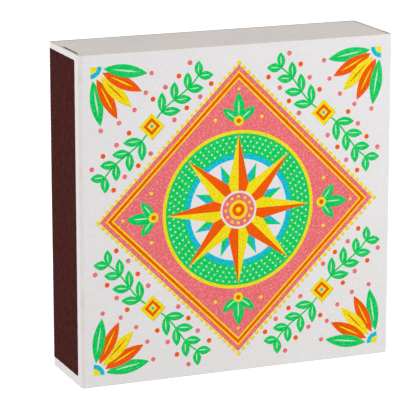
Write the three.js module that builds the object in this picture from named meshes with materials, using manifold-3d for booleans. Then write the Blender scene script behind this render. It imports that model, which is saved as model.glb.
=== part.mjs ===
// A large square matchbox that stands on one open end of its sleeve.
// X runs across the printed front, Y from the printed front to the back, and Z up, the way that
// the tray slides. The origin is the middle of the base, and all sizes are in millimetres.

import * as THREE from 'three';
import { mergeVertices } from 'three/addons/utils/BufferGeometryUtils.js';
import Module from 'manifold-3d';

// Closed box, over the card of the sleeve
const boxWidth = 110;
const boxDepth = 29;
const boxLength = 110;

// Sleeve: one folded card, glued along its right-hand side
const sleeveCard = 0.5;
const sleeveFold = 1;
const glueFlapWidth = 22;
const seamGap = 0.2;

// Striking strips: a thin coat on the narrow sides
const stripCoat = 0.15;
const stripFrontMargin = 3.8;
const stripTopMargin = 2.6;
const stripBottomMargin = 3.1;
const stripWrap = THREE.MathUtils.degToRad(45);

// Tray: one folded card, as long as the sleeve, open towards the printed front
const trayCard = 0.45;
const trayFold = 0.9;
const traySideGap = 0.4;
const trayFaceGap = 0.3;
const tabLength = 12;
const tabTaper = 2.5;
const tabSlit = 0.6;

// Matches: square splints with dipped heads. The coat of the head is measured over the splint's
// corners, where it starts and where it is thickest.
const matchLength = 100;
const splintWidth = 2.8;
const headLength = 9;
const headSkin = 0.04;
const headCoat = 0.12;
const headBelly = 4.5;
const headCrown = 1.1;
const headCrownWidth = 2.8;
const matchGap = 0.1;
const headTouch = 0.1;
const matchDrift = 1.2;
const fusedLayers = 3;
const looseLayers = 2;

// Facets on each rounded fold, and round each match head
const foldFacets = 4;
const headFacets = 8;

const white = 0xe9e5e2;
const board = 0xd8d4d0;
const maroon = 0x482320;
const wood = 0xd9b98a;

const wasm = await Module();
wasm.setup();

const xAxis = new THREE.Vector3(1, 0, 0);
const yAxis = new THREE.Vector3(0, 1, 0);
const zAxis = new THREE.Vector3(0, 0, 1);

// An outline drawn for a prism along X is [y, z], along Y it is [z, x], and along Z it is [x, y]
const prismFrames = {
  x: new THREE.Matrix4().makeBasis(yAxis, zAxis, xAxis),
  y: new THREE.Matrix4().makeBasis(zAxis, xAxis, yAxis),
  z: new THREE.Matrix4().makeBasis(xAxis, yAxis, zAxis),
};

function toSolid(geometry) {
  const bare = geometry.clone();
  bare.deleteAttribute('normal');
  bare.deleteAttribute('uv');
  const merged = mergeVertices(bare, 1e-5);
  const corners = merged.index.array;
  const triVerts = [];
  for (let i = 0; i < corners.length; i += 3) {
    const [a, b, c] = corners.slice(i, i + 3);
    if (a !== b && b !== c && c !== a) {
      triVerts.push(a, b, c);
    }
  }
  const mesh = new wasm.Mesh({
    numProp: 3,
    vertProperties: merged.attributes.position.array,
    triVerts: new Uint32Array(triVerts),
  });
  return new wasm.Manifold(mesh);
}

function toGeometry(solid) {
  const { vertProperties, triVerts } = solid.getMesh();
  const geometry = new THREE.BufferGeometry();
  geometry.setAttribute('position', new THREE.BufferAttribute(vertProperties, 3));
  geometry.setIndex(new THREE.BufferAttribute(triVerts, 1));
  geometry.computeVertexNormals();
  return geometry;
}

function join(geometries) {
  return toGeometry(geometries.map(toSolid).reduce((whole, piece) => whole.add(piece)));
}

// Points of an outline whose corners are [a, b], or [a, b, radius] where one is rounded
function rounded(corners) {
  return corners.flatMap(([a, b, radius = 0], i) => {
    const corner = new THREE.Vector2(a, b);
    if (radius === 0) {
      return [corner];
    }
    const before = new THREE.Vector2(...corners.at(i - 1)).sub(corner).normalize();
    const after = new THREE.Vector2(...corners[(i + 1) % corners.length]).sub(corner).normalize();
    const half = before.angleTo(after) / 2;
    const reach = radius / Math.tan(half);
    const centre = before.clone().add(after).setLength(radius / Math.sin(half)).add(corner);
    const start = before.clone().multiplyScalar(reach).add(corner).sub(centre).angle();
    const end = after.clone().multiplyScalar(reach).add(corner).sub(centre).angle();
    const clockwise = before.cross(after) > 0;
    const { x, y } = centre;
    return new THREE.EllipseCurve(x, y, radius, radius, start, end, clockwise).getPoints(foldFacets);
  });
}

function prism(axis, outline, low, high, holes = []) {
  const shape = new THREE.Shape(outline);
  shape.holes = holes.map((hole) => new THREE.Path(hole));
  const geometry = new THREE.ExtrudeGeometry(shape, { depth: high - low, bevelEnabled: false });
  return geometry.translate(0, 0, low).applyMatrix4(prismFrames[axis]);
}

// Edge-on outline of card folded square round both ends of a panel. The panel's outer face is at
// `face`, its two legs reach to `tip`, and the folds lie at the heights `low` and `high`.
function channel(low, high, face, tip, card, fold) {
  const inward = Math.sign(tip - face);
  const inner = Math.max(fold - card, 0);
  return {
    outer: [[low, tip], [low, face, fold], [high, face, fold], [high, tip]],
    inner: [
      [high - card, tip],
      [high - card, face + inward * card, inner],
      [low + card, face + inward * card, inner],
      [low + card, tip],
    ],
  };
}

const halfWidth = boxWidth / 2;
const halfDepth = boxDepth / 2;
const sleeveInnerFold = Math.max(sleeveFold - sleeveCard, 0);

// Clear space in the sleeve, whose right-hand wall is two cards thick where it is glued
const bore = {
  left: -halfWidth + sleeveCard,
  right: halfWidth - 2 * sleeveCard,
  front: -halfDepth + sleeveCard,
  back: halfDepth - sleeveCard,
};

// Outer faces of the tray
const tray = {
  left: bore.left + traySideGap,
  right: bore.right - traySideGap,
  rim: bore.front + trayFaceGap,
  back: bore.back - trayFaceGap,
};

// Space for the matches, above the tab that is glued inside the lower end panel
const hold = {
  left: tray.left + trayCard,
  right: tray.right - trayCard,
  back: tray.back - trayCard,
  bottom: 2 * trayCard,
};

// Cut edge of the right-hand side panel, just short of the back's fold
const seam = halfDepth - sleeveFold - seamGap;

// The right-hand side panel covers the flap that is folded in from the back
function sleeveGeometry() {
  const outline = rounded([
    [halfWidth, seam],
    [halfWidth - sleeveCard, seam],
    [halfWidth - sleeveCard, halfDepth, sleeveFold],
    [-halfWidth, halfDepth, sleeveFold],
    [-halfWidth, -halfDepth, sleeveFold],
    [halfWidth, -halfDepth, sleeveFold],
  ]);
  const inside = rounded([
    [bore.right, bore.back - glueFlapWidth],
    [bore.right, bore.back, sleeveInnerFold],
    [bore.left, bore.back, sleeveInnerFold],
    [bore.left, bore.front, sleeveInnerFold],
    [bore.right + sleeveCard, bore.front, sleeveInnerFold],
    [bore.right + sleeveCard, bore.back - glueFlapWidth],
  ]);
  return prism('z', outline, 0, boxLength, [inside]);
}

// Coat on a narrow side, from near the front to `back`. A coat that wraps goes on round the fold
// that begins there, through the angle `wrap`.
function stripGeometry(side, back, wrap) {
  const front = -halfDepth + stripFrontMargin;
  const face = side * halfWidth;
  const axis = new THREE.Vector2(face - side * sleeveFold, back);
  const turns = wrap > 0 ? Array.from({ length: foldFacets + 1 }, (_, i) => (wrap * i) / foldFacets) : [0];
  const arc = (radius) => turns.map((turn) => {
    const spoke = new THREE.Vector2(side * Math.cos(turn), Math.sin(turn));
    return spoke.multiplyScalar(radius).add(axis);
  });
  const outline = [
    new THREE.Vector2(face, front),
    ...arc(sleeveFold),
    ...arc(sleeveFold + stripCoat).reverse(),
    new THREE.Vector2(face + side * stripCoat, front),
  ];
  return prism('z', outline, stripBottomMargin, boxLength - stripTopMargin);
}

// A side wall's end tab, glued to the inner face of the end panel. It is slit free of the floor,
// and its free edge is tapered.
function tabGeometry(side, low) {
  const root = (side < 0 ? tray.left : tray.right) - side * trayFold;
  const tip = (side < 0 ? tray.left : tray.right) - side * tabLength;
  const outline = [
    new THREE.Vector2(root, tray.rim),
    new THREE.Vector2(tip, tray.rim + tabTaper),
    new THREE.Vector2(tip, hold.back - tabSlit - tabTaper),
    new THREE.Vector2(root, hold.back - tabSlit),
  ];
  return prism('z', outline, low, low + trayCard);
}

// The floor with the end panels folded up from it, the two side walls between them, and the tabs
// folded in from the walls. The folds between floor and walls round the back edges.
function trayGeometry() {
  const ends = channel(0, boxLength, tray.back, tray.rim, trayCard, trayFold);
  const floor = rounded([...ends.outer, ...ends.inner]).map(({ x, y }) => new THREE.Vector2(y, x));
  const pieces = [prism('x', floor, tray.left, tray.right)];
  for (const side of [-1, 1]) {
    const face = side < 0 ? tray.left : tray.right;
    const root = face - side * trayFold;
    const wall = channel(trayCard, boxLength - trayCard, face, root, trayCard, trayFold);
    pieces.push(prism('y', rounded([...wall.outer, ...wall.inner]), tray.rim, hold.back));
    pieces.push(tabGeometry(side, trayCard), tabGeometry(side, boxLength - 2 * trayCard));
  }
  const block = rounded([
    [tray.left, tray.rim],
    [tray.right, tray.rim],
    [tray.right, tray.back, trayFold],
    [tray.left, tray.back, trayFold],
  ]);
  return toGeometry(toSolid(join(pieces)).intersect(toSolid(prism('z', block, 0, boxLength))));
}

const splintDiagonal = splintWidth * Math.SQRT2;
const headDiameter = splintDiagonal + 2 * headCoat;

// One match, upright, its foot at the origin
function matchGeometry() {
  const neck = matchLength - headLength;
  const splintLength = neck + headBelly;
  const splint = new THREE.BoxGeometry(splintWidth, splintWidth, splintLength);
  splint.translate(0, 0, splintLength / 2);
  const profile = [
    new THREE.Vector2(0, neck),
    new THREE.Vector2(splintDiagonal / 2 + headSkin, neck),
    new THREE.Vector2(headDiameter / 2, neck + headBelly),
    new THREE.Vector2(headCrownWidth / 2, matchLength - headCrown),
    new THREE.Vector2(0, matchLength),
  ];
  const head = new THREE.LatheGeometry(profile, headFacets).rotateX(Math.PI / 2);
  return join([splint, head]);
}

function named(name, geometry, color, roughness) {
  const material = new THREE.MeshStandardMaterial({ color, roughness, metalness: 0 });
  material.flatShading = true;
  const mesh = new THREE.Mesh(geometry, material);
  mesh.name = name;
  return mesh;
}

// How far apart the axes of two separate matches are at least, however they are turned
const matchSpacing = headDiameter + matchGap;

// From the axis of a full row's first match to the axis of its last
const rowSpan = hold.right - hold.left - headDiameter - 2 * matchGap;

// A full row of heads that touch, and one of separate matches that are spread evenly
const fusedPitch = headDiameter - headTouch;
const fusedCount = 1 + Math.floor(rowSpan / fusedPitch);
const looseCount = 1 + Math.floor(rowSpan / matchSpacing);
const loosePitch = rowSpan / (looseCount - 1);

// Centres along X of a row. A row that nests between two full ones is one match shorter.
function rowCentres(fullCount, pitch, nested) {
  const count = nested ? fullCount - 1 : fullCount;
  const middle = (hold.left + hold.right) / 2;
  return Array.from({ length: count }, (_, i) => middle + (i - (count - 1) / 2) * pitch);
}

// How far a row rises over the row that it nests in
function nestedStep(pitch) {
  return Math.sqrt(matchSpacing ** 2 - (pitch / 2) ** 2);
}

// The pile of matches lies on the tray's floor, heads up, in nested layers. The lower layers are
// each one solid, joined where the heads touch, and the upper ones are single matches.
function matchMeshes() {
  const match = matchGeometry();
  const meshes = [];
  let y = hold.back - matchSpacing / 2;
  for (let layer = 0; layer < fusedLayers; layer++) {
    const centres = rowCentres(fusedCount, fusedPitch, layer % 2 === 1);
    const row = centres.map((x) => match.clone().translate(x, y, hold.bottom));
    meshes.push(named(`match_layer_${layer + 1}`, join(row), wood, 0.8));
    y -= layer + 1 < fusedLayers ? nestedStep(fusedPitch) : matchSpacing;
  }
  let number = 0;
  for (let layer = 0; layer < looseLayers; layer++) {
    for (const x of rowCentres(looseCount, loosePitch, layer % 2 === 0)) {
      number += 1;
      const loose = named(`match_${String(number).padStart(2, '0')}`, match, wood, 0.8);
      const drift = (matchDrift * (1 + Math.sin(number * 2.4))) / 2;
      loose.position.set(x, y, hold.bottom + drift);
      loose.rotation.z = number * 1.7;
      meshes.push(loose);
    }
    y -= nestedStep(loosePitch);
  }
  return meshes;
}

const matchbox = new THREE.Group();
const slidingTray = new THREE.Group();

matchbox.add(named('sleeve', sleeveGeometry(), white, 0.6));
const leftStrip = stripGeometry(-1, halfDepth - sleeveFold, stripWrap);
matchbox.add(named('striker_strip_left', leftStrip, maroon, 0.95));
const rightStrip = stripGeometry(1, seam, 0);
matchbox.add(named('striker_strip_right', rightStrip, maroon, 0.95));
slidingTray.add(named('tray', trayGeometry(), board, 0.7));
slidingTray.add(...matchMeshes());
matchbox.add(slidingTray);

export default matchbox;
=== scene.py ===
"""A large square matchbox that stands on one end of its sleeve, in a white studio."""

import random
from math import copysign, cos, pi, radians, sin, sqrt

import bmesh
import bpy
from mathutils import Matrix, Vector
from mathutils.geometry import delaunay_2d_cdt


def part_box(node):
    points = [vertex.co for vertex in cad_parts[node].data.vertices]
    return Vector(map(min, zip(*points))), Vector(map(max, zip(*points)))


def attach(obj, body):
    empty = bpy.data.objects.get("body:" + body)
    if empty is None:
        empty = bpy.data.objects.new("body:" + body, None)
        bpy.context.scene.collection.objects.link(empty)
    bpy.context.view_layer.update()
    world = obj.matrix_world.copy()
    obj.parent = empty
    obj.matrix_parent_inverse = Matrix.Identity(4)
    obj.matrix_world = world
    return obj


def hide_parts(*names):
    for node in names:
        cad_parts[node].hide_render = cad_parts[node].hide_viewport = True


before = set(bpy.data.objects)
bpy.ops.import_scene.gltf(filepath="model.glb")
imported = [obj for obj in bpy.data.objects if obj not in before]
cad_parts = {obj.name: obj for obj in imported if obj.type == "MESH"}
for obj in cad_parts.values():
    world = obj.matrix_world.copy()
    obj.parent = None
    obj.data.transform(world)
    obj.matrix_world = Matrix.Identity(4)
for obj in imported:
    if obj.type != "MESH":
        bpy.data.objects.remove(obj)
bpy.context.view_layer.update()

MM = 0.001
IMAGE_SIZE = 416

# Shapes below are worked out in millimetres, in the row frame


def node_box(node):
    low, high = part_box(node)
    return low / MM, high / MM


_, sleeve_high = node_box("sleeve")
tray_low, tray_high = node_box("tray")
HALF_WIDTH = sleeve_high.x
HALF_DEPTH = sleeve_high.y
LENGTH = sleeve_high.z

# The sleeve: its card, folds and glued seam, and how far its wide panels sink in
SLEEVE_CARD = 0.5
SLEEVE_FOLD = 1.0
FLAP_WIDTH = 22.0
SEAM_GAP = 0.2
EDGE_BEVEL = 0.14
FOLD_STEPS = 8
PANEL_STEP = 3.0
FRONT_BOW = 0.18
BACK_BOW = 0.12
END_BOW = 0.55
MIDDLE_BOW = 0.45

# The tray: its card, folds and glued tabs
TRAY_CARD = 0.45
TRAY_FOLD = 0.6
TRAY_EDGE_BEVEL = 0.2
TRAY_STEP = 6.0
TAB_LENGTH = 12.0
TAB_TAPER = 2.5
TAB_SLIT = 0.6
WELD = 0.02

# The slit between the tray's left wall and the sleeve at either end: how far the wall leans in
# there and presses out beside it, how far it is sunk in under the end panel's edge, how much of
# both the lower end has, how deep and how far across the tray they reach, and the mesh's steps
SLIT_LEAN = 1.2
SLIT_PRESS = 0.25
SLIT_HOLLOW = 1.8
LOWER_SLIT = 0.3
SLIT_DEPTH = 6.5
SLIT_REACH = 30.0
SLIT_STEP = 0.75
SLIT_LEVELS = (0.8, 1.3, 2.2, 3.3, 4.5)

# Where the slit starts and ends, as shares of the wall's width from its rim, and where the hollow
# under the edge ends, as a depth, each with the stretch over which it opens or closes
SLIT_START = 0.03
SLIT_OPENING = 0.2
SLIT_END = 0.64
SLIT_CLOSING = 0.05
HOLLOW_OPENING = 0.35
HOLLOW_END = 2.6
HOLLOW_CLOSING = 2.4

# The striking strips: their coat, corners and edges, and the left one's way round the back fold
STRIP_COAT = 0.08
STRIP_CORNER = 0.7
STRIP_CORNER_STEPS = 5
STRIP_RISE = 0.6
STRIP_STEP = 1.5
STRIP_WRAP = radians(45)
WRAP_STEP = 0.15
STRIP_MARGIN = 0.04
STRIP_RIM = 0.02
WAVER = 0.03
SLOW_WAVE = 1.3
QUICK_WAVE = 3.1
STRIP_SEED = 5

# The matches, and how much they differ from one another
SPLINT_WIDTH = 2.8
HEAD_LENGTH = 9.0
HEAD_DIAMETER = 4.2
FUSED_PITCH = 4.1
MATCH_TURN = 1.7
SPLINT_SHARES = (0.96, 1.0)
HEAD_SHARES = (0.965, 0.995)
NECK_SHIFTS = (-0.5, 0.6)
DIP_SLANTS = (0.1, 0.45)
MATCH_SEED = 11

# Where a splint has sections below its neck, as shares of the match, and the share of the head
# over which the slant of its dip fades
SPLINT_SECTIONS = (0, 0.33, 0.66)
SLANT_FADE = 0.3

# How close two points are to count as one, in the sleeve, in the tray and where a mesh is cut, and
# how close a face's middle is to the tray's rim or side to lie in it
SLEEVE_TOUCH = 1e-3
TRAY_TOUCH = 1e-4
CUT_TOUCH = 1e-5
FACE_TOUCH = 1e-3


# Camera: the viewing angle and distance that put the box's corners on the photograph's

CAMERA_AZIMUTH = radians(-22.09)
CAMERA_ELEVATION = radians(13.71)
CAMERA_DISTANCE = 830.4
CAMERA_TARGET = Vector((-10.87, -14.5, 56.61))
FOCAL_PIXELS = 2544.0
SENSOR = 36.0
NEAREST = 0.05
FARTHEST = 20


def add_camera():
    camera = bpy.data.cameras.new("camera")
    camera.sensor_width = SENSOR
    camera.lens = FOCAL_PIXELS / IMAGE_SIZE * SENSOR
    camera.clip_start = NEAREST
    camera.clip_end = FARTHEST
    holder = bpy.data.objects.new("camera", camera)
    back = Vector((
        sin(CAMERA_AZIMUTH) * cos(CAMERA_ELEVATION),
        -cos(CAMERA_AZIMUTH) * cos(CAMERA_ELEVATION),
        sin(CAMERA_ELEVATION),
    ))
    holder.location = (CAMERA_TARGET + back * CAMERA_DISTANCE) * MM
    holder.rotation_euler = back.to_track_quat("Z", "Y").to_euler()
    bpy.context.scene.collection.objects.link(holder)
    bpy.context.scene.camera = holder


# Materials


def linear(red, green, blue):
    """A colour written as 0 to 255 screen values, as the linear values that a shader takes."""
    def one(value):
        value /= 255
        return value / 12.92 if value <= 0.04045 else ((value + 0.055) / 1.055) ** 2.4
    return (one(red), one(green), one(blue), 1.0)


class Shader:
    """A Principled material that is put together node by node."""

    def __init__(self, name, roughness, specular):
        self.material = bpy.data.materials.new(name)
        self.material.use_nodes = True
        self.tree = self.material.node_tree
        self.surface = self.tree.nodes["Principled BSDF"]
        self.surface.inputs["Roughness"].default_value = roughness
        self.surface.inputs["Specular IOR Level"].default_value = specular
        self.place = self.tree.nodes.new("ShaderNodeTexCoord").outputs["Object"]

    def node(self, kind, **values):
        made = self.tree.nodes.new(kind)
        for name, value in values.items():
            setattr(made, name, value)
        return made

    def link(self, start, end):
        self.tree.links.new(start, end)

    def stretched(self, scale):
        mapping = self.node("ShaderNodeMapping")
        mapping.inputs["Scale"].default_value = scale
        self.link(self.place, mapping.inputs["Vector"])
        return mapping.outputs["Vector"]

    def noise(self, size, detail=2.0, stretch=(1, 1, 1), roughness=0.5):
        """Noise whose blobs are about size millimetres across."""
        made = self.node("ShaderNodeTexNoise")
        made.inputs["Scale"].default_value = 1 / (size * MM)
        made.inputs["Detail"].default_value = detail
        made.inputs["Roughness"].default_value = roughness
        self.link(self.stretched(stretch), made.inputs["Vector"])
        return made.outputs["Fac"]

    def ramp(self, factor, stops):
        made = self.node("ShaderNodeValToRGB")
        ramp = made.color_ramp
        while len(ramp.elements) < len(stops):
            ramp.elements.new(0.5)
        for element, (position, color) in zip(ramp.elements, stops):
            element.position = position
            element.color = color
        self.link(factor, made.inputs["Fac"])
        return made.outputs["Color"]

    def give(self, socket, value):
        """Links another node's output to a socket, or writes a plain value into it."""
        if isinstance(value, bpy.types.NodeSocket):
            self.link(value, socket)
        else:
            socket.default_value = value

    def mix(self, factor, first, second, blend="MIX"):
        made = self.node("ShaderNodeMix", data_type="RGBA", blend_type=blend)
        for name, value in (("Factor", factor), ("A", first), ("B", second)):
            self.give(made.inputs[name], value)
        return made.outputs["Result"]

    def math(self, operation, *values):
        made = self.node("ShaderNodeMath", operation=operation)
        for socket, value in zip(made.inputs, values):
            self.give(socket, value)
        return made.outputs[0]

    def rise(self, value, start, end, least=0.0):
        """A smooth rise from least to 1 while the value goes from start to end."""
        made = self.node("ShaderNodeMapRange", interpolation_type="SMOOTHSTEP")
        self.link(value, made.inputs["Value"])
        for name, given in (("From Min", start), ("From Max", end), ("To Min", least)):
            made.inputs[name].default_value = given
        return made.outputs[0]

    def colored(self, color):
        self.link(color, self.surface.inputs["Base Color"])

    def bumped(self, *layers):
        """Raises the surface by each (height, depth in millimetres) in turn."""
        normal = None
        for height, depth in layers:
            bump = self.node("ShaderNodeBump")
            bump.inputs["Strength"].default_value = 1.0
            bump.inputs["Distance"].default_value = depth * MM
            self.link(height, bump.inputs["Height"])
            if normal is not None:
                self.link(normal, bump.inputs["Normal"])
            normal = bump.outputs["Normal"]
        self.link(normal, self.surface.inputs["Normal"])


NO_TINT = (1, 1, 1, 1)
RIPPLE_SIZE = 2.4
RIPPLE_DEPTH = 0.012
# Where the tan along a fold starts and where it is full, as distances from the planes of the
# wall and of the face that meet there. The tan is partly wear from rubbing, in patches, and partly
# an even painted crease shade along the fold
FOLD_WEAR_AND_SHADE_BY_WALL = (1.7, 0.6)
FOLD_WEAR_AND_SHADE_BY_FACE = (1.6, 0.5)


def shade(color, factor):
    return (*(min(1.0, channel * factor) for channel in color[:3]), 1.0)


def printed(name, color, show_through):
    """Ink on coated board, which shows through a little where the board's tooth took less ink."""
    shader = Shader(name, roughness=0.5, specular=0.03)
    tooth = shader.noise(0.62, roughness=0.7)
    thin = tuple(c + (w - c) * show_through for c, w in zip(color, WHITE))
    spots = shader.ramp(tooth, [(0.38, shade(color, 0.86)), (0.54, color), (0.64, thin)])
    tint = shader.ramp(shader.noise(9.0), [(0.35, (0.97, 0.965, 0.96, 1)), (0.65, NO_TINT)])
    shader.colored(shader.mix(1.0, spots, tint, "MULTIPLY"))
    shader.bumped((shader.noise(RIPPLE_SIZE), RIPPLE_DEPTH), (tooth, 0.012))
    return shader.material


def coated_board(name, color):
    """White coated board, tan on the sleeve's left folds from rubbing and painted crease shade."""
    shader = Shader(name, roughness=0.45, specular=0.2)
    fine = shader.noise(0.95, 3.0, roughness=0.7)
    plain = shader.ramp(fine, [(0.32, shade(color, 0.95)), (0.68, shade(color, 1.022))])
    tint = shader.ramp(shader.noise(16.0), [(0.35, (0.985, 0.982, 0.984, 1)), (0.65, NO_TINT)])
    clean = shader.mix(1.0, plain, tint, "MULTIPLY")

    axes = shader.node("ShaderNodeSeparateXYZ")
    shader.link(shader.place, axes.inputs[0])
    leftward = shader.math("MULTIPLY", axes.outputs["X"], -1)
    outward = shader.math("ABSOLUTE", axes.outputs["Y"])
    by_wall = shader.rise(leftward, *((HALF_WIDTH - gap) * MM for gap in FOLD_WEAR_AND_SHADE_BY_WALL))
    by_face = shader.rise(outward, *((HALF_DEPTH - gap) * MM for gap in FOLD_WEAR_AND_SHADE_BY_FACE))
    patches = shader.noise(2.6, 3.0, stretch=(1, 1, 0.5), roughness=0.6)
    # The patches are wear from rubbing; the floor of 0.45 under them is painted crease shade
    worn_and_shaded = shader.rise(patches, 0.5, 0.72, least=0.45)
    wear_and_shade = shader.math("MULTIPLY", shader.math("MULTIPLY", by_wall, by_face), worn_and_shaded)
    shader.colored(shader.mix(wear_and_shade, clean, FOLD_WEAR_AND_SHADE))
    shader.bumped((shader.noise(RIPPLE_SIZE), RIPPLE_DEPTH), (fine, 0.006))
    return shader.material


def raw_board(name, color):
    """Uncoated board with short fibres."""
    shader = Shader(name, roughness=0.85, specular=0.25)
    fibres = shader.noise(0.8, 4.0, stretch=(1, 1, 0.25), roughness=0.65)
    flecks = shader.ramp(fibres, [(0.3, shade(color, 0.93)), (0.62, shade(color, 1.03))])
    tint = shader.ramp(shader.noise(14.0), [(0.3, (0.96, 0.95, 0.93, 1)), (0.7, NO_TINT)])
    shader.colored(shader.mix(1.0, flecks, tint, "MULTIPLY"))
    shader.bumped((fibres, 0.02), (shader.noise(3.0), 0.015))
    return shader.material


def cut_edge(name, color):
    """The plies of the card where it is cut."""
    shader = Shader(name, roughness=0.9, specular=0.2)
    plies = shader.noise(0.35, 3.0, roughness=0.7)
    shader.colored(shader.ramp(plies, [(0.3, shade(color, 0.82)), (0.7, shade(color, 1.1))]))
    shader.bumped((plies, 0.03))
    return shader.material


def striking_coat(name):
    """Gritty maroon coat, a little cloudy."""
    shader = Shader(name, roughness=0.9, specular=0.04)
    grit = shader.noise(0.55, 3.0, roughness=0.75)
    clouds = shader.noise(2.4, 4.0, roughness=0.7)
    base = shader.ramp(clouds, [(0.3, linear(60, 20, 18)), (0.7, linear(83, 39, 36))])
    specks = shader.ramp(grit, [
        (0.3, (0.7, 0.66, 0.66, 1)), (0.5, NO_TINT), (0.78, (1.0, 0.92, 0.9, 1)),
    ])
    shader.colored(shader.mix(1.0, base, specks, "MULTIPLY"))
    shader.bumped((grit, 0.05), (clouds, 0.02))
    return shader.material


def splint_wood(name):
    """Split aspen: fine grain along the splint."""
    shader = Shader(name, roughness=0.7, specular=0.3)
    grain = shader.noise(0.5, 5.0, stretch=(1, 1, 0.035), roughness=0.65)
    broad = shader.noise(3.4, stretch=(1, 1, 0.06))
    lines = shader.ramp(grain, [
        (0.3, linear(201, 164, 112)), (0.52, linear(226, 196, 148)), (0.7, linear(238, 214, 172)),
    ])
    tint = shader.ramp(broad, [(0.35, (0.9, 0.86, 0.8, 1)), (0.65, NO_TINT)])
    shader.colored(shader.mix(1.0, lines, tint, "MULTIPLY"))
    shader.bumped((grain, 0.05))
    return shader.material


def head_compound(name):
    """Dipped and dried match head, with a grainy skin."""
    shader = Shader(name, roughness=0.6, specular=0.4)
    grain = shader.noise(0.3, 3.0, roughness=0.7)
    broad = shader.noise(1.8)
    base = shader.ramp(broad, [(0.3, linear(176, 44, 46)), (0.7, linear(204, 62, 58))])
    specks = shader.ramp(grain, [(0.32, (0.78, 0.74, 0.72, 1)), (0.6, NO_TINT)])
    shader.colored(shader.mix(1.0, base, specks, "MULTIPLY"))
    shader.bumped((grain, 0.06), (broad, 0.05))
    return shader.material


WHITE = linear(238, 235, 235)
# Tan of the left folds: wear from rubbing, and painted crease shade along them
FOLD_WEAR_AND_SHADE = linear(226, 217, 209)
INKS = {
    "white": coated_board("coated_white", WHITE),
    "coral": printed("coral_ink", linear(249, 116, 122), 0.24),
    "orange": printed("orange_ink", linear(254, 95, 0), 0.02),
    "yellow": printed("yellow_ink", linear(255, 233, 0), 0.14),
    "ochre": printed("ochre_ink", linear(236, 186, 4), 0.05),
    "green": printed("green_ink", linear(0, 216, 99), 0.08),
    "deep_green": printed("deep_green_ink", linear(2, 184, 76), 0.05),
    "pale_green": printed("pale_green_ink", linear(220, 240, 226), 0.03),
    "cyan": printed("cyan_ink", linear(0, 199, 224), 0.08),
}
INNER_BOARD = raw_board("inner_board", linear(206, 192, 174))
TRAY_BOARD = raw_board("tray_board", linear(227, 221, 218))
SLEEVE_EDGE = cut_edge("sleeve_cut_edge", linear(226, 212, 196))
TRAY_EDGE = cut_edge("tray_cut_edge", linear(246, 232, 208))
STRIKING_COAT = striking_coat("striking_coat")
SPLINT_WOOD = splint_wood("splint_wood")
HEAD_COMPOUND = head_compound("head_compound")


# Meshes


def add_piece(name, mesh, body, slot, *replaced):
    piece = bpy.data.objects.new(name, mesh)
    bpy.context.scene.collection.objects.link(piece)
    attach(piece, body)
    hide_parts(*replaced)
    return piece


def to_mesh(name, build, materials, sharp=radians(35)):
    """A mesh from a bmesh in millimetres, with its materials, smooth but for its sharp edges."""
    bmesh.ops.scale(build, vec=(MM, MM, MM), verts=build.verts)
    mesh = bpy.data.meshes.new(name)
    build.to_mesh(mesh)
    build.free()
    for material in materials:
        mesh.materials.append(material)
    mesh.polygons.foreach_set("use_smooth", [True] * len(mesh.polygons))
    mesh.set_sharp_from_angle(angle=sharp)
    return mesh


def spread(start, end, step):
    """Values from start to end, about step apart, both ends with them."""
    count = max(1, round(abs(end - start) / step))
    return [start + (end - start) * i / count for i in range(count + 1)]


def partition(outline, shapes, inner_points=()):
    """Cuts a flat outline into triangles along the outlines of shapes, which may overlap. Returns
    the points, the triangles and the number of the last shape over each triangle, or -1."""
    points = list(outline)
    faces = [list(range(len(points)))]
    for shape in shapes:
        faces.append(list(range(len(points), len(points) + len(shape))))
        points += shape
    points += inner_points
    cut = delaunay_2d_cdt([Vector(p) for p in points], [], faces, 1, CUT_TOUCH)
    return cut[0], cut[2], [max(owners) - 1 for owners in cut[5]]


# The printed front: a lozenge quilt block with a compass star, garlands and corner fans.
# Its outlines are in millimetres from the middle of the face.

# How far the darker copy under a stamped shape is moved
STAMP_EDGE = (0.16, -0.2)


def moved(outline, across, up):
    return [(x + across, y + up) for x, y in outline]


def turned(outline, angle):
    return [(x * cos(angle) - y * sin(angle), x * sin(angle) + y * cos(angle)) for x, y in outline]


def disc(radius, steps=20):
    angles = [2 * pi * i / steps for i in range(steps)]
    return [(radius * cos(a), radius * sin(a)) for a in angles]


def lozenge(reach):
    return [(reach, 0), (0, reach), (-reach, 0), (0, -reach)]


def leaf(length, width, steps=9):
    """A pointed oval along +X from the origin."""
    side = [(length * i / steps, width / 2 * sin(pi * i / steps) ** 0.85) for i in range(1, steps)]
    return [(0, 0), *((x, -y) for x, y in side), (length, 0), *reversed(side)]


def kite(tip, shoulder, half_angle, side):
    """One half of a compass point along +X, on the side given by the sign."""
    corner = (shoulder * cos(half_angle), side * shoulder * sin(half_angle))
    return [(0, 0), (tip, 0), corner][::side]


class Print:
    """The shapes of the print, each in its ink, from the lowest to the uppermost."""

    def __init__(self):
        self.shapes = []
        self.inks = []

    def put(self, ink, outline):
        self.shapes.append(outline)
        self.inks.append(ink)

    def stamp(self, ink, under, outline):
        """A shape over a copy in a darker colour, moved to show as an edge at its lower right."""
        self.put(under, moved(outline, *STAMP_EDGE))
        self.put(ink, outline)

    def discs(self, rows):
        """Discs about the middle, each an ink, a radius and a number of steps."""
        for ink, radius, steps in rows:
            self.put(ink, disc(radius, steps))

    def dots(self, ink, count, ring, radius, phase=0.0):
        """Dots spaced evenly on a ring about the middle."""
        for i in range(count):
            angle = 2 * pi * (i + phase) / count
            self.put(ink, moved(disc(radius, 8), ring * cos(angle), ring * sin(angle)))


# The lozenge, from its middle to its points, and its striped band
LOZENGE = 49.0
LOZENGE_EDGE = 0.6
BEAD_PITCH = 2.3
BEAD_RADIUS = 0.75
BAND = 2.6
BAND_STRIPES = ((0, "yellow"), (0.7, "orange"), (2.1, "yellow"), (2.8, "coral"))

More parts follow.
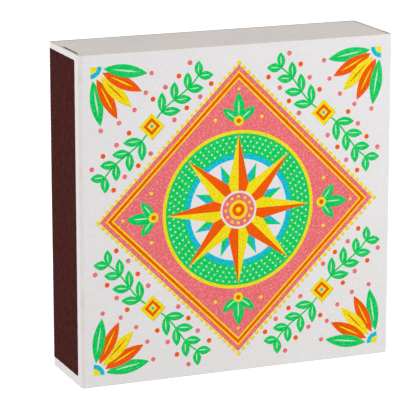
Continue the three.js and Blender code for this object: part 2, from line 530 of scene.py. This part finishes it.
# The compass star: its discs as ink, radius and number of steps, its dotted ground in rows of ring,
# count and phase, and the reach of its points and of their shoulders
STAR_GROUND = (("yellow", 26.7, 72), ("green", 25.6, 72))
GROUND_DOTS = ((24.4, 70, 0.0), (22.9, 66, 0.5), (21.4, 62, 0.0), (19.9, 58, 0.5))
GROUND_DOT = 0.34
STAR_DISCS = (("cyan", 18.9, 64), ("white", 17.1, 64))
STAR_COUNT = 8
LONG_POINT = (25.2, 9.4)
SHORT_POINT = (16.7, 7.8)
HUB_DISCS = (("white", 6.4, 40), ("coral", 5.7, 40))
HUB_DOTS = 12
HUB_RING = 4.5
HUB_DOT = 0.5
EYE_DISCS = (("yellow", 3.2, 28), ("orange", 2.2, 24), ("yellow", 0.9, 14))

# The leaves in the lozenge's points: lean, length and width, the bud at their root: ink, radius and
# number of steps, and the dots around them: place and radius
TIP_ROOT = 29.8
TIP_LEAVES = ((-0.92, 7.2, 3.0), (0.92, 7.2, 3.0), (0, 9.4, 3.8))
TIP_RIB = 0.42
TIP_BUD = (("yellow", 1.7, 16), ("orange", 0.8, 12))
TIP_DOTS = ((0, 40.4, 0.5), (-8.2, 30.6, 0.6), (8.2, 30.6, 0.6))

# The garlands
GARLAND_REACH = 25.0
GARLAND_OFFSET = 8.2
GARLAND_SWAY = 0.8
GARLAND_STEPS = 30
STEM_HALF = 0.3
PAIRS = 4
FIRST_PAIR = 5.4
PAIR_PITCH = 5.6
LEAF_LENGTH = 6.6
LEAF_SHRINK = 0.5
LEAF_WIDTH = 2.8
LEAF_ANGLE = radians(42)
GARLAND_RIB = 0.36
BERRY_RADIUS = 0.85
BERRY_AHEAD = 1.2
BERRY_ASIDE = 5.2

# The square boss in the middle of a garland: the reach of its squares and the radius of its eye
BOSS_REACH = 4.4
BOSS_SQUARES = (("orange", 2.9), ("yellow", 1.6))
BOSS_EYE = 0.55

# A leaf's pale rib, as shares of the leaf's length
RIB_LENGTH = 0.6
RIB_START = 0.16

# The corner fans: the corner's place, where blades, veins and dots start along a blade, the length
# and width of blades and veins, the quarter discs in the corner, and each blade's inks: its own,
# the darker one under it and its vein's
FAN_CORNER = 51.0
BLADE_START = 4.4
BLADE_SIZE = (15.0, 4.2)
VEIN_START = 7.4
VEIN_SIZE = (9.0, 0.5)
FAN_DOT_START = 21.0
FAN_DOT = 0.8
FAN_QUARTERS = (("cyan", 3.8), ("yellow", 2.3))
FAN_BLADES = (
    ("green", "deep_green", "pale_green"),
    ("orange", "coral", "yellow"),
    ("yellow", "ochre", "orange"),
    ("orange", "coral", "yellow"),
    ("green", "deep_green", "pale_green"),
)
QUARTER_STEPS = 10


def rib(length, width):
    return moved(leaf(length * RIB_LENGTH, width, 5), length * RIB_START, 0)


def lozenge_print(art):
    """The coral lozenge with its beaded yellow band."""
    beads = round(LOZENGE * sqrt(2) / BEAD_PITCH)
    for corner in range(4):
        for i in range(beads):
            along = i / beads
            bead = moved(disc(BEAD_RADIUS, 10), LOZENGE * (1 - along), LOZENGE * along)
            art.stamp("yellow", "ochre", turned(bead, corner * pi / 2))
    art.put("coral", lozenge(LOZENGE - LOZENGE_EDGE))
    for inset, ink in BAND_STRIPES:
        art.put(ink, lozenge(LOZENGE - BAND - inset))


def star_print(art):
    """A compass star on a dotted green ground."""
    art.discs(STAR_GROUND)
    for ring, count, phase in GROUND_DOTS:
        art.dots("pale_green", count, ring, GROUND_DOT, phase)
    art.discs(STAR_DISCS)
    points = ((SHORT_POINT, pi / STAR_COUNT, "cyan", "green"), (LONG_POINT, 0, "yellow", "orange"))
    for (tip, shoulder), phase, first_ink, second_ink in points:
        for i in range(STAR_COUNT):
            angle = 2 * pi / STAR_COUNT * i + phase
            for side, ink in ((1, first_ink), (-1, second_ink)):
                art.put(ink, turned(kite(tip, shoulder, pi / STAR_COUNT, side), angle))
    art.discs(HUB_DISCS)
    art.dots("yellow", HUB_DOTS, HUB_RING, HUB_DOT)
    art.discs(EYE_DISCS)


def tip_print(art, turn):
    """Leaves and dots in one point of the lozenge. They are drawn in its upper point."""
    def place(outline):
        return turned(outline, turn)

    for lean, length, width in TIP_LEAVES:
        angle = pi / 2 + lean
        blade = moved(turned(leaf(length, width), angle), 0, TIP_ROOT)
        art.stamp("green", "deep_green", place(blade))
        art.put("pale_green", place(moved(turned(rib(length, TIP_RIB), angle), 0, TIP_ROOT)))
    for ink, radius, steps in TIP_BUD:
        art.put(ink, place(moved(disc(radius, steps), 0, TIP_ROOT)))
    for across, up, radius in TIP_DOTS:
        art.put("yellow", place(moved(disc(radius, 10), across, up)))


def garland_print(art, turn):
    """Laurel leaves either way from a square boss, beside one edge of the lozenge. They are drawn
    beside the upper right edge."""
    middle = LOZENGE / 2 + GARLAND_OFFSET / sqrt(2)

    def place(outline):
        return turned(moved(turned(outline, -pi / 4), middle, middle), turn)

    def sway(along):
        return GARLAND_SWAY * sin(along / GARLAND_REACH * 2 * pi)

    step = 2 * GARLAND_REACH / GARLAND_STEPS
    centre = [(x, sway(x)) for x in spread(-GARLAND_REACH, GARLAND_REACH, step)]
    lower = [(x, y - STEM_HALF) for x, y in centre]
    art.put("green", place(lower + [(x, y + STEM_HALF) for x, y in reversed(centre)]))
    for direction in (-1, 1):
        for i in range(PAIRS):
            along = direction * (FIRST_PAIR + PAIR_PITCH * i)
            heading = 0 if direction > 0 else pi
            length = LEAF_LENGTH - LEAF_SHRINK * i
            for side in (-1, 1):
                angle = heading + direction * side * LEAF_ANGLE
                blade = moved(turned(leaf(length, LEAF_WIDTH), angle), along, sway(along))
                art.stamp("green", "deep_green", place(blade))
                pale = moved(turned(rib(length, GARLAND_RIB), angle), along, sway(along))
                art.put("pale_green", place(pale))
                ahead = along + direction * BERRY_AHEAD
                berry = moved(disc(BERRY_RADIUS, 12), ahead, sway(along) + side * BERRY_ASIDE)
                art.put("orange" if (i + (side > 0)) % 2 else "coral", place(berry))
    art.stamp("yellow", "ochre", place(turned(lozenge(BOSS_REACH), pi / 4)))
    for ink, reach in BOSS_SQUARES:
        art.put(ink, place(turned(lozenge(reach), pi / 4)))
    art.put("cyan", place(disc(BOSS_EYE, 10)))


def fan_print(art, turn):
    """A quilt fan in one corner. It is drawn in the upper right."""
    def place(outline):
        return turned(moved(outline, FAN_CORNER, FAN_CORNER), turn)

    def quarter(radius):
        angles = [pi + pi / 2 * i / QUARTER_STEPS for i in range(QUARTER_STEPS + 1)]
        return [(0, 0)] + [(radius * cos(a), radius * sin(a)) for a in angles]

    for i, (ink, under, vein) in enumerate(FAN_BLADES):
        angle = pi + pi / 2 * (i + 0.5) / len(FAN_BLADES)
        art.stamp(ink, under, place(turned(moved(leaf(*BLADE_SIZE), BLADE_START, 0), angle)))
        art.put(vein, place(turned(moved(leaf(*VEIN_SIZE, 5), VEIN_START, 0), angle)))
        art.put("coral", place(turned(moved(disc(FAN_DOT, 12), FAN_DOT_START, 0), angle)))
    for ink, radius in FAN_QUARTERS:
        art.put(ink, place(quarter(radius)))


def front_print():
    art = Print()
    lozenge_print(art)
    star_print(art)
    for corner in range(4):
        turn = corner * pi / 2
        tip_print(art, turn)
        garland_print(art, turn)
        fan_print(art, turn)
    return art


# The sleeve


def arc(x, y, radius, start, end):
    """Points and normals of a fold, from one angle to another in degrees."""
    angles = [radians(start + (end - start) * i / FOLD_STEPS) for i in range(FOLD_STEPS + 1)]
    return [(x + radius * cos(a), y + radius * sin(a), cos(a), sin(a)) for a in angles]


def outer_loop():
    """The sleeve's outline from above, anticlockwise from the front's left end: a point and the
    outward normal. The seam is at the right end of the back."""
    side = HALF_WIDTH - SLEEVE_FOLD
    end = HALF_DEPTH - SLEEVE_FOLD
    flap = HALF_WIDTH - SLEEVE_CARD
    seam = end - SEAM_GAP
    loop = [(x, -HALF_DEPTH, 0, -1) for x in spread(-side, side, PANEL_STEP)]
    loop += arc(side, -end, SLEEVE_FOLD, -90, 0)[1:]
    loop += [(HALF_WIDTH, y, 1, 0) for y in spread(-end, seam, PANEL_STEP)[1:]]
    loop += [(flap, seam, 1, 0)]
    loop += arc(flap - SLEEVE_FOLD, end, SLEEVE_FOLD, 0, 90)
    loop += [(x, HALF_DEPTH, 0, 1) for x in spread(flap - SLEEVE_FOLD, -side, PANEL_STEP)[1:]]
    loop += arc(-side, end, SLEEVE_FOLD, 90, 180)[1:]
    loop += [(-HALF_WIDTH, y, -1, 0) for y in spread(end, -end, PANEL_STEP)[1:]]
    loop += arc(-side, -end, SLEEVE_FOLD, 180, 270)[1:-1]
    return loop


def inner_loop():
    """The sleeve's inside from above, anticlockwise from the front's left end."""
    side = HALF_WIDTH - SLEEVE_FOLD
    end = HALF_DEPTH - SLEEVE_FOLD
    fold = SLEEVE_FOLD - SLEEVE_CARD
    front = -HALF_DEPTH + SLEEVE_CARD
    wall = HALF_WIDTH - SLEEVE_CARD
    flap = wall - SLEEVE_CARD
    flap_end = -front - FLAP_WIDTH
    loop = [(x, front) for x in spread(-side, side, PANEL_STEP)]
    loop += [p[:2] for p in arc(side, -end, fold, -90, 0)[1:]]
    loop += [(wall, y) for y in spread(-end, flap_end, PANEL_STEP)[1:]]
    loop += [(flap, y) for y in spread(flap_end, end, PANEL_STEP)]
    loop += [p[:2] for p in arc(flap - fold, end, fold, 0, 90)[1:]]
    loop += [(x, -front) for x in spread(flap - fold, -side, PANEL_STEP)[1:]]
    loop += [p[:2] for p in arc(-side, end, fold, 90, 180)[1:]]
    loop += [(-wall, y) for y in spread(end, -end, PANEL_STEP)[1:]]
    loop += [p[:2] for p in arc(-side, -end, fold, 180, 270)[1:-1]]
    return loop


def bowed(point):
    """Where a point of the flat sleeve lies once its wide panels have sunk in a little."""
    across = max(0.0, 1 - (point.x / HALF_WIDTH) ** 2)
    along = END_BOW + MIDDLE_BOW * sin(pi * point.z / LENGTH)
    lean = point.y / HALF_DEPTH
    bow = FRONT_BOW if lean < 0 else BACK_BOW
    return Vector((point.x, point.y - lean * abs(lean) * bow * across * along, point.z))


def sleeve_mesh():
    materials = [INKS["white"], INNER_BOARD, SLEEVE_EDGE]
    white, inner_board, cut = range(3)
    build = bmesh.new()

    def corner(x, y, z):
        return build.verts.new((x, y, z))

    def face(corners, material):
        made = build.faces.new(corners)
        made.material_index = material

    outer = outer_loop()
    inner = inner_loop()
    panel = spread(-HALF_WIDTH + SLEEVE_FOLD, HALF_WIDTH - SLEEVE_FOLD, PANEL_STEP)
    front_count = len(panel) - 1
    levels = spread(EDGE_BEVEL, LENGTH - EDGE_BEVEL, PANEL_STEP)

    # The outside, but for the printed front, and its bevelled ends. One step of the outline is the
    # cut edge of the seam.
    rings = [[corner(x, y, z) for x, y, _, _ in outer] for z in levels]
    ends = [
        [corner(x - nx * EDGE_BEVEL, y - ny * EDGE_BEVEL, z) for x, y, nx, ny in outer]
        for z in (0, LENGTH)
    ]
    bands = list(zip(rings, rings[1:], [white] * len(levels)))
    bands += [(ends[0], rings[0], cut), (rings[-1], ends[1], cut)]
    seam_step = next(
        i for i, (x, _, nx, _) in enumerate(outer) if i > front_count and x < HALF_WIDTH and nx == 1
    ) - 1
    for lower, upper, material in bands:
        for i in range(len(outer)):
            j = (i + 1) % len(outer)
            if material == white and i < front_count:
                continue
            face([lower[i], lower[j], upper[j], upper[i]], cut if i == seam_step else material)

    # The inside. One step of its outline is the cut edge of the glue flap.
    inner_levels = spread(0, LENGTH, PANEL_STEP)
    inner_rings = [[corner(x, y, z) for x, y in inner] for z in inner_levels]
    flap_step = next(
        i for i, ((x0, y0), (x1, y1)) in enumerate(zip(inner, inner[1:]))
        if y0 == y1 and x0 > 0 and x1 == x0 - SLEEVE_CARD
    )
    for lower, upper in zip(inner_rings, inner_rings[1:]):
        for i in range(len(inner)):
            j = (i + 1) % len(inner)
            face([lower[j], lower[i], upper[i], upper[j]], cut if i == flap_step else inner_board)

    # The cut ends of the card
    for end, hole, facing in ((ends[0], inner_rings[0], -1), (ends[1], inner_rings[-1], 1)):
        outline = [(v.co.x, v.co.y) for v in end]
        opening = [(v.co.x, v.co.y) for v in hole]
        points, triangles, owners = partition(outline, [opening])
        z = end[0].co.z
        made = [corner(p.x, p.y, z) for p in points]
        for triangle, owner in zip(triangles, owners):
            if owner < 0:
                face([made[i] for i in triangle[::facing]], cut)

    # The printed front
    art = front_print()
    low, high = levels[0], levels[-1]
    xs = [p[0] for p in outer[: front_count + 1]]
    border = [(x, low) for x in xs]
    border += [(xs[-1], z) for z in levels[1:]]
    border += [(x, high) for x in xs[-2::-1]]
    border += [(xs[0], z) for z in levels[-2:0:-1]]
    grid = [(x, z) for x in xs[1:-1] for z in levels[1:-1]]
    shapes = [moved(shape, 0, LENGTH / 2) for shape in art.shapes]
    points, triangles, owners = partition(border, shapes, grid)
    ink_slots = {"white": white}
    for ink in art.inks:
        if ink not in ink_slots:
            ink_slots[ink] = len(materials)
            materials.append(INKS[ink])
    made = [corner(p.x, -HALF_DEPTH, p.y) for p in points]
    for triangle, owner in zip(triangles, owners):
        face([made[i] for i in triangle], ink_slots[art.inks[owner] if owner >= 0 else "white"])

    bmesh.ops.remove_doubles(build, verts=build.verts, dist=SLEEVE_TOUCH)
    for vert in build.verts:
        vert.co = bowed(vert.co)
    return to_mesh("sleeve_card", build, materials, sharp=radians(40))


# The tray


def profile_ring(corners, fold_steps=FOLD_STEPS):
    """Points of an outline whose corners are (a, b), or (a, b, radius) where rounded."""
    points = []
    count = len(corners)
    for i, corner_values in enumerate(corners):
        here = Vector(corner_values[:2])
        radius = corner_values[2] if len(corner_values) > 2 else 0
        if radius == 0:
            points.append(here)
            continue
        before = (Vector(corners[i - 1][:2]) - here).normalized()
        after = (Vector(corners[(i + 1) % count][:2]) - here).normalized()
        centre = here + (before + after) * radius
        start = here + before * radius - centre
        end = here + after * radius - centre
        for step in range(fold_steps + 1):
            turn = pi / 2 * step / fold_steps
            points.append(centre + start * cos(turn) + end * sin(turn))
    return points


def prism(points, low, high, place):
    """An object that is a closed prism of an outline. place(a, b, w) gives a corner's position."""
    build = bmesh.new()
    lower = [build.verts.new(place(p.x, p.y, low)) for p in points]
    upper = [build.verts.new(place(p.x, p.y, high)) for p in points]
    build.faces.new(lower[::-1])
    build.faces.new(upper)
    for i in range(len(points)):
        j = (i + 1) % len(points)
        build.faces.new([lower[i], lower[j], upper[j], upper[i]])
    bmesh.ops.recalc_face_normals(build, faces=build.faces)
    mesh = bpy.data.meshes.new("prism")
    build.to_mesh(mesh)
    build.free()
    holder = bpy.data.objects.new("prism", mesh)
    bpy.context.scene.collection.objects.link(holder)
    return holder


def combine(first, second, operation):
    """Gives the first object the result of a boolean with the second, which is deleted."""
    modifier = first.modifiers.new("combine", "BOOLEAN")
    modifier.operation = operation
    modifier.solver = "EXACT"
    modifier.object = second
    evaluated = first.evaluated_get(bpy.context.evaluated_depsgraph_get())
    mesh = bpy.data.meshes.new_from_object(evaluated)
    first.modifiers.clear()
    first.data = mesh
    bpy.data.objects.remove(second)


def channel(low, high, face, tip):
    """Edge-on outline of card folded square at both ends of a panel."""
    inward = 1 if tip > face else -1
    inner = TRAY_FOLD - TRAY_CARD
    return [
        (low, tip), (low, face, TRAY_FOLD), (high, face, TRAY_FOLD), (high, tip),
        (high - TRAY_CARD, tip), (high - TRAY_CARD, face + inward * TRAY_CARD, inner),
        (low + TRAY_CARD, face + inward * TRAY_CARD, inner), (low + TRAY_CARD, tip),
    ]


def smooth(value):
    value = min(1.0, max(0.0, value))
    return value * value * (3 - 2 * value)


def slit_profile(share):
    """How open the slit by the tray's left wall is, from the wall's rim at 0 to its fold at 1."""
    opened = smooth((share - SLIT_START) / SLIT_OPENING)
    return opened * (1 - smooth((share - SLIT_END) / SLIT_CLOSING))


def hollow_profile(depth):
    """How much the left wall is sunk in under the end panel's edge, by the depth from the end."""
    opened = smooth((depth - TRAY_CARD) / HOLLOW_OPENING)
    return opened * (1 - smooth((depth - HOLLOW_END) / HOLLOW_CLOSING))


def folded_tray(left, right, rim, back):
    """The tray's card as one solid: the floor with both end panels, then the walls, whose tabs lie
    inside the end panels, all trimmed to the tray's rounded outline."""
    floor = back - TRAY_CARD
    ends = profile_ring(channel(0, LENGTH, back, rim))
    solid = prism(ends, left, right, lambda z, y, x: (x, y, z))
    for side, face in ((-1, left), (1, right)):
        root = face - side * TRAY_FOLD
        sunk = root + side * TRAY_FOLD / 3
        wall = profile_ring(channel(TRAY_CARD - WELD, LENGTH - TRAY_CARD + WELD, face, root))
        combine(solid, prism(wall, rim, floor + WELD, lambda z, x, y: (x, y, z)), "UNION")
        tip = face - side * TAB_LENGTH
        tab = [Vector(p) for p in (
            (sunk, rim), (root, rim), (tip, rim + TAB_TAPER), (tip, floor - TAB_SLIT - TAB_TAPER),
            (root, floor - TAB_SLIT), (sunk, floor - TAB_SLIT),
        )]
        near, far = TRAY_CARD - WELD, 2 * TRAY_CARD
        for low, high in ((near, far), (LENGTH - far, LENGTH - TRAY_CARD + WELD)):
            combine(solid, prism(tab, low, high, lambda x, y, z: (x, y, z)), "UNION")
    block = profile_ring([
        (left, rim), (right, rim), (right, back, TRAY_FOLD), (left, back, TRAY_FOLD),
    ])
    combine(solid, prism(block, 0, LENGTH, lambda x, y, z: (x, y, z)), "INTERSECT")
    return solid


def cut_in_steps(build, left, right, rim, back):
    """Cuts a mesh along planes across each axis, closer together where the slit is."""
    levels = [depth for near in SLIT_LEVELS for depth in (near, LENGTH - near)]
    levels += spread(0, LENGTH, TRAY_STEP)
    planes = (spread(left, right, TRAY_STEP), spread(rim, back, SLIT_STEP), sorted(levels))
    for axis, values in enumerate(planes):
        normal = Vector([float(axis == i) for i in range(3)])
        for value in values[1:-1]:
            bmesh.ops.bisect_plane(
                build, geom=build.verts[:] + build.edges[:] + build.faces[:], dist=CUT_TOUCH,
                plane_co=normal * value, plane_no=normal)
    bmesh.ops.remove_doubles(build, verts=build.verts, dist=TRAY_TOUCH)


def tray_mesh():
    left, right = tray_low.x, tray_high.x
    rim, back = tray_low.y, tray_high.y
    solid = folded_tray(left, right, rim, back)
    build = bmesh.new()
    build.from_mesh(solid.data)
    bpy.data.objects.remove(solid)
    bmesh.ops.remove_doubles(build, verts=build.verts, dist=TRAY_TOUCH)
    board, cut = range(2)
    for face in build.faces:
        middle = face.calc_center_median()
        along_rim = middle.y < rim + FACE_TOUCH
        by_side = min(middle.x - left, right - middle.x) < FACE_TOUCH
        by_end = min(middle.z, LENGTH - middle.z) < TRAY_CARD
        face.material_index = cut if along_rim or (by_side and by_end) else board

    def on_end_border(edge):
        a, b = (v.co for v in edge.verts)
        on_end = all(min(v.z, LENGTH - v.z) < TRAY_TOUCH for v in (a, b))
        on_rim = all(v.y < rim + TRAY_TOUCH for v in (a, b))
        on_side = any(all(abs(v.x - x) < TRAY_TOUCH for v in (a, b)) for x in (left, right))
        return on_end and (on_rim or on_side)

    borders = [edge for edge in build.edges if on_end_border(edge)]
    bmesh.ops.bevel(
        build, geom=borders, offset=TRAY_EDGE_BEVEL, segments=2, profile=0.5, affect="EDGES",
        material=cut, clamp_overlap=True)
    cut_in_steps(build, left, right, rim, back)
    for vert in build.verts:
        near_left = max(0.0, 1 - (vert.co.x - left) / SLIT_REACH)
        depth = min(vert.co.z, LENGTH - vert.co.z)
        open_share = slit_profile((vert.co.y - rim) / (back - rim))
        if vert.co.z < LENGTH / 2:
            open_share *= LOWER_SLIT
        lean = (SLIT_LEAN + SLIT_PRESS) * open_share - SLIT_PRESS
        hollow = SLIT_HOLLOW * open_share * hollow_profile(depth)
        vert.co.x += near_left * (lean * smooth(1 - depth / SLIT_DEPTH) + hollow)
    return to_mesh("tray_card", build, [TRAY_BOARD, TRAY_EDGE])


# The striking strips


def strip_mesh(side, node):
    """A striking strip: a thin coat whose corners are rounded and whose edges waver a little. The
    left one goes on halfway round the back fold."""
    low, high = node_box(node)
    front = low.y
    straight = (HALF_DEPTH - SLEEVE_FOLD if side < 0 else high.y) - front
    wrap = STRIP_WRAP if side < 0 else 0
    reach = straight + wrap * SLEEVE_FOLD
    tall = high.z + STRIP_RISE - low.z
    chance = random.Random(STRIP_SEED + side)
    phases = [chance.uniform(0, 2 * pi) for _ in range(2)]

    def place(along, up, height):
        if along <= straight:
            return side * (HALF_WIDTH + height), front + along, low.z + up
        turn = (along - straight) / SLEEVE_FOLD
        radius = SLEEVE_FOLD + height
        return (
            side * (HALF_WIDTH - SLEEVE_FOLD + radius * cos(turn)),
            front + straight + radius * sin(turn), low.z + up,
        )

    def waver(value, phase):
        return WAVER * (sin(value * SLOW_WAVE + phase) + sin(value * QUICK_WAVE + 2 * phase))

    across_steps = round(reach / STRIP_STEP)
    up_steps = round(tall / STRIP_STEP)

    def border(inset):
        """The outline, the same number of points at any inset."""
        far_x, far_y = reach - inset, tall - inset
        corners = [(inset, inset), (far_x, inset), (far_x, far_y), (inset, far_y)]
        arcs = []
        for i, (x, y) in enumerate(corners):
            middle_x = x + copysign(STRIP_CORNER, reach / 2 - x)
            middle_y = y + copysign(STRIP_CORNER, tall / 2 - y)
            quarters = [i + k / STRIP_CORNER_STEPS for k in range(STRIP_CORNER_STEPS + 1)]
            angles = [pi + pi / 2 * quarter for quarter in quarters]
            arcs.append([
                (middle_x + STRIP_CORNER * cos(a), middle_y + STRIP_CORNER * sin(a)) for a in angles
            ])
        points = []
        for i, corner in enumerate(arcs):
            points += corner
            (x0, y0), (x1, y1) = corner[-1], arcs[(i + 1) % 4][0]
            steps = up_steps if i % 2 else across_steps
            for k in range(1, steps):
                points.append((x0 + (x1 - x0) * k / steps, y0 + (y1 - y0) * k / steps))
        return [
            (x + waver(y, phases[0]) * (x < reach / 2), y + waver(x, phases[1])) for x, y in points
        ]

    outer = border(STRIP_MARGIN)
    inner = border(STRIP_MARGIN + STRIP_COAT)
    columns = spread(0, straight, STRIP_STEP)[1:] if wrap else spread(0, reach, STRIP_STEP)[1:-1]
    if wrap:
        columns += spread(straight, reach, WRAP_STEP)[1:-2]
    grid = [(x, y) for x in columns for y in spread(0, tall, STRIP_STEP)[1:-1]]

    build = bmesh.new()
    points, triangles, _ = partition(inner, [], grid)
    top = [build.verts.new(place(p.x, p.y, STRIP_COAT)) for p in points]
    for triangle in triangles:
        build.faces.new([top[i] for i in triangle])
    count = len(outer)
    rim_top = top[:count]
    rim_low = [build.verts.new(place(x, y, STRIP_RIM)) for x, y in outer]
    foot = [build.verts.new(place(x, y, -SLEEVE_CARD / 2)) for x, y in outer]
    for i in range(count):
        j = (i + 1) % count
        build.faces.new([rim_low[i], rim_low[j], rim_top[j], rim_top[i]])
        build.faces.new([foot[i], foot[j], rim_low[j], rim_low[i]])
    points, triangles, _ = partition(outer, [], grid)
    under = dict(enumerate(foot))
    for triangle in triangles:
        for i in triangle:
            if i not in under:
                under[i] = build.verts.new(place(points[i].x, points[i].y, -SLEEVE_CARD / 2))
        build.faces.new([under[i] for i in reversed(triangle)])
    bmesh.ops.delete(build, geom=[v for v in build.verts if not v.link_faces], context="VERTS")
    bmesh.ops.recalc_face_normals(build, faces=build.faces)
    return to_mesh(f"{node}_coat", build, [STRIKING_COAT])


# The matches

# Where the points of a cross-section lie, closer together at the splint's corners
SECTION_ANGLES = [radians(90 * quarter + a) for quarter in range(4) for a in (0, 24, 41, 49, 66)]


def add_match(build, x, y, foot, length, turn, chance):
    """Adds one match to a bmesh: a square splint, and a head that swells from it and rounds off."""
    wood, head = 0, 1
    half = SPLINT_WIDTH / 2 * chance.uniform(*SPLINT_SHARES)
    belly = HEAD_DIAMETER / 2 * chance.uniform(*HEAD_SHARES)
    neck = length - HEAD_LENGTH + chance.uniform(*NECK_SHIFTS)
    lean = chance.uniform(0, 2 * pi)
    dip = chance.uniform(*DIP_SLANTS)

    def ring(height, square_half, round_radius, roundness, slant=0.0):
        made = []
        for angle in SECTION_ANGLES:
            flat = square_half / max(abs(cos(angle)), abs(sin(angle)))
            radius = flat * (1 - roundness) + round_radius * roundness
            z = foot + height + slant * cos(angle - lean)
            across, over = radius * cos(angle + turn), radius * sin(angle + turn)
            made.append(build.verts.new((x + across, y + over, z)))
        return made

    def skin(lower, upper, material):
        for i in range(len(lower)):
            j = (i + 1) % len(lower)
            build.faces.new([lower[i], lower[j], upper[j], upper[i]]).material_index = material

    splint = [ring(length * share, half, half, 0) for share in SPLINT_SECTIONS]
    splint.append(ring(neck, half, half, 0, dip))
    build.faces.new(splint[0][::-1]).material_index = wood
    for lower, upper in zip(splint, splint[1:]):
        skin(lower, upper, wood)
    swell = length - neck
    # The head's sections: the share of its height, half the side of the splint's square there, the
    # radius of its round form, and how far it has gone from the square to the round
    sections = [
        (0.012, half + 0.05, half * 1.2, 0.06), (0.06, half + 0.09, half * 1.32, 0.3),
        (0.16, half + 0.12, belly * 0.93, 0.6), (0.32, half + 0.14, belly, 0.9),
        (0.52, half, belly, 1), (0.68, half, belly * 0.985, 1), (0.81, half, belly * 0.9, 1),
        (0.9, half, belly * 0.73, 1), (0.96, half, belly * 0.49, 1), (0.99, half, belly * 0.24, 1),
    ]
    below = splint[-1]
    for share, square_half, radius, roundness in sections:
        slant = dip * max(0.0, 1 - share / SLANT_FADE)
        above = ring(neck + swell * share, square_half, radius, roundness, slant)
        skin(below, above, head)
        below = above
    build.faces.new(below).material_index = head


def add_matches():
    chance = random.Random(MATCH_SEED)
    for node in sorted(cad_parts):
        if not node.startswith("match_"):
            continue
        low, high = node_box(node)
        y = (low.y + high.y) / 2
        build = bmesh.new()
        if node.startswith("match_layer_"):
            count = round((high.x - low.x - HEAD_DIAMETER) / FUSED_PITCH) + 1
            middle = (low.x + high.x) / 2
            for i in range(count):
                x = middle + (i - (count - 1) / 2) * FUSED_PITCH
                add_match(build, x, y, low.z, high.z - low.z, 0, chance)
        else:
            turn = int(node.rsplit("_", 1)[1]) * MATCH_TURN
            add_match(build, (low.x + high.x) / 2, y, low.z, high.z - low.z, turn, chance)
        materials = [SPLINT_WOOD, HEAD_COMPOUND]
        mesh = to_mesh(f"{node}_fine", build, materials, sharp=radians(32))
        add_piece(f"{node}_fine", mesh, "tray", "match_wood", node)


# Studio

FLOOR_SIZE = 6.0
FLOOR_COLOR = (0.81, 0.83, 0.84, 1)


def add_light(name, azimuth, elevation, distance, size, power):
    data = bpy.data.lights.new(name, "AREA")
    data.shape = "DISK"
    data.size = size
    data.energy = power
    holder = bpy.data.objects.new(name, data)
    a, e = radians(azimuth), radians(elevation)
    toward = Vector((sin(a) * cos(e), -cos(a) * cos(e), sin(e)))
    holder.location = Vector((0, 0, LENGTH / 2 * MM)) + toward * distance
    holder.rotation_euler = toward.to_track_quat("Z", "Y").to_euler()
    bpy.context.scene.collection.objects.link(holder)


def seen_directly(tree):
    """1 for rays that show a surface to the eye, and 0 for rays that carry light."""
    path = tree.nodes.new("ShaderNodeLightPath")
    total = None
    for output in ("Is Camera Ray", "Is Glossy Ray", "Is Transmission Ray"):
        if total is None:
            total = path.outputs[output]
            continue
        made = tree.nodes.new("ShaderNodeMath")
        made.operation = "MAXIMUM"
        tree.links.new(total, made.inputs[0])
        tree.links.new(path.outputs[output], made.inputs[1])
        total = made.outputs[0]
    return total


def add_world(level):
    """Even light from all round, which shows as white."""
    world = bpy.data.worlds.new("studio")
    bpy.context.scene.world = world
    world.use_nodes = True
    tree = world.node_tree
    tree.nodes.clear()

    def white(strength):
        made = tree.nodes.new("ShaderNodeBackground")
        made.inputs["Color"].default_value = (1, 1, 1, 1)
        made.inputs["Strength"].default_value = strength
        return made.outputs[0]

    mix = tree.nodes.new("ShaderNodeMixShader")
    output = tree.nodes.new("ShaderNodeOutputWorld")
    tree.links.new(seen_directly(tree), mix.inputs["Fac"])
    tree.links.new(white(level), mix.inputs[1])
    tree.links.new(white(1.0), mix.inputs[2])
    tree.links.new(mix.outputs[0], output.inputs["Surface"])


def add_floor(glow):
    """A pale floor that shows white where nothing shades it."""
    bpy.ops.mesh.primitive_plane_add(size=FLOOR_SIZE)
    floor = bpy.context.object
    floor.name = "floor"
    material = bpy.data.materials.new("floor")
    material.use_nodes = True
    tree = material.node_tree
    surface = tree.nodes["Principled BSDF"]
    surface.inputs["Base Color"].default_value = FLOOR_COLOR
    surface.inputs["Roughness"].default_value = 0.9
    surface.inputs["Specular IOR Level"].default_value = 0.0
    emission = tree.nodes.new("ShaderNodeEmission")
    strength = tree.nodes.new("ShaderNodeMath")
    strength.operation = "MULTIPLY"
    strength.inputs[1].default_value = glow
    tree.links.new(seen_directly(tree), strength.inputs[0])
    tree.links.new(strength.outputs[0], emission.inputs["Strength"])
    both = tree.nodes.new("ShaderNodeAddShader")
    tree.links.new(surface.outputs[0], both.inputs[0])
    tree.links.new(emission.outputs[0], both.inputs[1])
    tree.links.new(both.outputs[0], tree.nodes["Material Output"].inputs["Surface"])
    floor.data.materials.append(material)


add_camera()
add_piece("sleeve_card", sleeve_mesh(), "sleeve", "sleeve_card", "sleeve")
add_piece("tray_card", tray_mesh(), "tray", "tray_card", "tray")
add_matches()
for side, strip in ((-1, "striker_strip_left"), (1, "striker_strip_right")):
    add_piece(f"{strip}_coat", strip_mesh(side, strip), "sleeve", "striker", strip)
add_world(level=0.6)
add_light("key", azimuth=40, elevation=22, distance=0.6, size=0.4, power=1.18)
add_light("side", azimuth=-82, elevation=20, distance=1.4, size=0.8, power=5.6)
add_floor(glow=0.65)
bpy.context.scene.view_settings.view_transform = "Standard"
